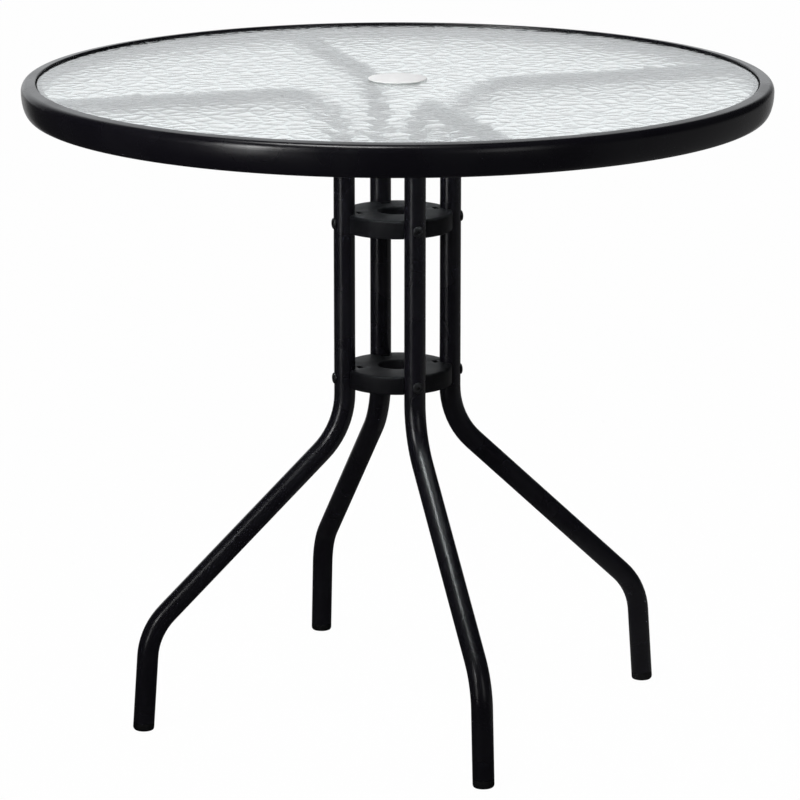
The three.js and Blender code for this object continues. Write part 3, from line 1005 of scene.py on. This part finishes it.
nutPiece = makeNut()
hubBolt = makeBolt(boltSeat - nutInner + bolt['tipReach'])
for hubName, node, bottom in hubs:
    height = bottom + boltHeight
    placeOnLegs(moved(hubBolt, 'hubBolt', (boltSeat, 0, height), (0, pi / 2, 0)),
                hubName + 'Bolt', node + '_bolt', blackSteel)
    placeOnLegs(moved(nutPiece, 'hubNut', (nutInner, 0, height), (0, pi / 2, 0)),
                hubName + 'Nut', node + '_nut', blackSteel)
armSeat = armHeight - leg['tubeRadius'] - table['gap']
armNutBottom = armHeight + bracket['tongueThickness'] / 2 + table['gap']
armBolt = makeBolt(armNutBottom + nut['thickness'] + bolt['tipReach'] - armSeat)
placeOnLegs(moved(armBolt, 'armBolt', (armBoltRadius, 0, armSeat), (pi, 0, 0)),
            'armBolt', 'arm_bolt', blackSteel)
placeOnLegs(moved(nutPiece, 'armNut', (armBoltRadius, 0, armNutBottom)),
            'armNut', 'arm_nut', blackSteel)
for spare in (nutPiece, hubBolt, armBolt):
    bpy.data.objects.remove(spare)
print('bolts and nuts made')


# Floor, light and camera

studio = {
    'floorSize': 40,
    'floorColour': (0.8, 0.8, 0.8),
    'whiteShare': 0.985,  # the rest of the floor takes the shadow
    'plain': 0.42,  # level of the world for matte surfaces
    'white': (1, 1, 1),
    'glossTint': (0.96, 0.98, 1.0),
    'darkGloss': 0.02,  # what gloss shows of the room away from its bright shares
    'backdropRise': (radians(20), radians(46)),  # where the backdrop fades upwards
}
# What gloss shows of the room: each share is brightest at a turn from straight behind the
# table, and the floor's shares begin between two distances from it
backdrop = {'gloss': 1.0, 'turn': radians(-9), 'fade': (radians(36), radians(8))}
backFloor = {'gloss': 0.95, 'turn': 0.0, 'fade': (radians(38), radians(8)),
             'start': (0.5, 2.2)}
sideFloor = {'gloss': 0.15, 'turn': radians(75), 'fade': (radians(60), radians(25)),
             'start': (0.0, 0.2)}
# Each lamp stands at a turn from the camera and points at the height of its aim on the axis
lamps = {
    'sideBox': {'power': 1.0, 'size': (0.32, 0.7), 'distance': 2.2, 'turn': radians(-41),
                'rise': radians(16), 'aim': 0.69, 'spread': radians(44)},
    'lowBox': {'power': 0.36, 'size': (0.32, 0.8), 'distance': 2.2, 'turn': radians(-41),
               'rise': radians(-2), 'aim': 0.69, 'spread': radians(34)},
    'rightBox': {'power': 2, 'size': (0.5, 1.0), 'distance': 2.2, 'turn': radians(30),
                 'rise': radians(14), 'aim': 0.45, 'spread': pi},
    'overhead': {'power': 12, 'size': (0.72, 0.26), 'distance': 1.75, 'turn': radians(-31),
                 'rise': radians(67), 'aim': 0.45, 'spread': pi},
}
view = {
    'turn': 0.3135,
    'distance': 4.2,
    'height': 1.3965,
    'pitch': 0.2452,
    'lens': 179.29,  # millimetres, as the sensor
    'sensor': 36,
    'shift': 0.003,
    'farClip': 100,
}


def whiteForSight(tree, light):
    # 1 for what the camera sees, also through glass
    return mathNode(tree, 'MAXIMUM', light.outputs['Is Camera Ray'],
                    light.outputs['Is Transmission Ray'])


def shareTowards(tree, place, look):
    # 1 towards the turn of a look, 0 past its fade
    level = vectorNode(tree, 'NORMALIZE', vectorNode(tree, 'MULTIPLY', place, (1, 1, 0)))
    towards = tree.nodes.new('ShaderNodeVectorMath')
    towards.operation = 'DOT_PRODUCT'
    turn = view['turn'] + look['turn']
    towards.inputs[1].default_value = (sin(turn), cos(turn), 0)
    tree.links.new(level, towards.inputs[0])
    far, near = look['fade']
    return rangeNode(tree, towards.outputs['Value'], cos(far), cos(near), 0.0, 1.0)


def makeFloor():
    deselectAll()
    bpy.ops.mesh.primitive_plane_add(size=studio['floorSize'], location=(0, 0, 0))
    floor = placeInMesh(bpy.context.object)
    floor.name = 'studioFloor'
    material, tree, shader = startMaterial('studioFloorPaper', Roughness=1.0,
                                           Specular_IOR_Level=0.0)
    shader.inputs['Base Color'].default_value = (*studio['floorColour'], 1)
    light = tree.nodes.new('ShaderNodeLightPath')
    place = tree.nodes.new('ShaderNodeTexCoord').outputs['Object']
    level = studio['darkGloss']
    for look in (backFloor, sideFloor):
        begun = rangeNode(tree, lengthNode(tree, place), *look['start'], 0.0, look['gloss'])
        share = mathNode(tree, 'MULTIPLY', shareTowards(tree, place, look), begun)
        level = mathNode(tree, 'MAXIMUM', share, level)
    sight = whiteForSight(tree, light)
    level = mathNode(tree, 'MAXIMUM', sight, level)
    glow = addNode(tree, 'ShaderNodeEmission', Color=(*studio['white'], 1))
    tree.links.new(level, glow.inputs['Strength'])
    mix = tree.nodes.new('ShaderNodeMixShader')
    seen = mathNode(tree, 'MAXIMUM', sight, light.outputs['Is Glossy Ray'])
    tree.links.new(mathNode(tree, 'MULTIPLY', seen, studio['whiteShare']), mix.inputs[0])
    tree.links.new(shader.outputs[0], mix.inputs[1])
    tree.links.new(glow.outputs[0], mix.inputs[2])
    tree.links.new(mix.outputs[0], tree.nodes['Material Output'].inputs['Surface'])
    floor.data.materials.append(material)


def makeWorld():
    world = bpy.data.worlds.new('studioWorld')
    bpy.context.scene.world = world
    world.use_nodes = True
    tree = world.node_tree
    background = tree.nodes['Background']
    light = tree.nodes.new('ShaderNodeLightPath')
    place = tree.nodes.new('ShaderNodeTexCoord').outputs['Generated']
    split = tree.nodes.new('ShaderNodeSeparateXYZ')
    tree.links.new(place, split.inputs[0])
    rise = [sin(angle) for angle in studio['backdropRise']]
    low = rangeNode(tree, split.outputs['Z'], *rise, 1.0, 0.0)
    share = mathNode(tree, 'MULTIPLY', low, shareTowards(tree, place, backdrop))
    gloss = rangeNode(tree, share, 0.0, 1.0, studio['darkGloss'], backdrop['gloss'], 'LINEAR')
    level = mathNode(tree, 'MULTIPLY', light.outputs['Is Glossy Ray'],
                     mathNode(tree, 'SUBTRACT', gloss, studio['plain']))
    level = mathNode(tree, 'ADD', level, studio['plain'])
    toWhite = mathNode(tree, 'SUBTRACT', 1.0, level)
    toWhite = mathNode(tree, 'MULTIPLY', whiteForSight(tree, light), toWhite)
    level = mathNode(tree, 'ADD', level, toWhite)
    tree.links.new(level, background.inputs['Strength'])
    tint = colourMix(tree, light.outputs['Is Glossy Ray'], studio['white'], studio['glossTint'])
    tree.links.new(tint, background.inputs['Color'])


def makeLamp(name, lamp):
    # A soft box, which leans to look down or up by its rise
    data = bpy.data.lights.new(name, 'AREA')
    data.shape = 'RECTANGLE'
    data.size, data.size_y = lamp['size']
    data.energy, data.spread = lamp['power'], lamp['spread']
    box = bpy.data.objects.new(name, data)
    bpy.context.scene.collection.objects.link(box)
    turn, rise = view['turn'] - lamp['turn'], lamp['rise']
    reach = lamp['distance'] * cos(rise)
    height = lamp['aim'] + lamp['distance'] * sin(rise)
    box.location = (-reach * sin(turn), -reach * cos(turn), height)
    box.rotation_euler = (pi / 2 - rise, 0, -turn)


def makeCamera():
    data = bpy.data.cameras.new('camera')
    data.lens, data.sensor_width = view['lens'], view['sensor']
    data.shift_x = view['shift']
    data.clip_end = view['farClip']
    camera = bpy.data.objects.new('camera', data)
    bpy.context.scene.collection.objects.link(camera)
    turn = view['turn']
    camera.location = (-view['distance'] * sin(turn), -view['distance'] * cos(turn),
                       view['height'])
    camera.rotation_euler = (pi / 2 - view['pitch'], 0, -turn)
    bpy.context.scene.camera = camera


makeFloor()
makeWorld()
for name, lamp in lamps.items():
    makeLamp(name, lamp)
makeCamera()
bpy.context.scene.view_settings.view_transform = 'Standard'
print('studio made')

deselectAll()
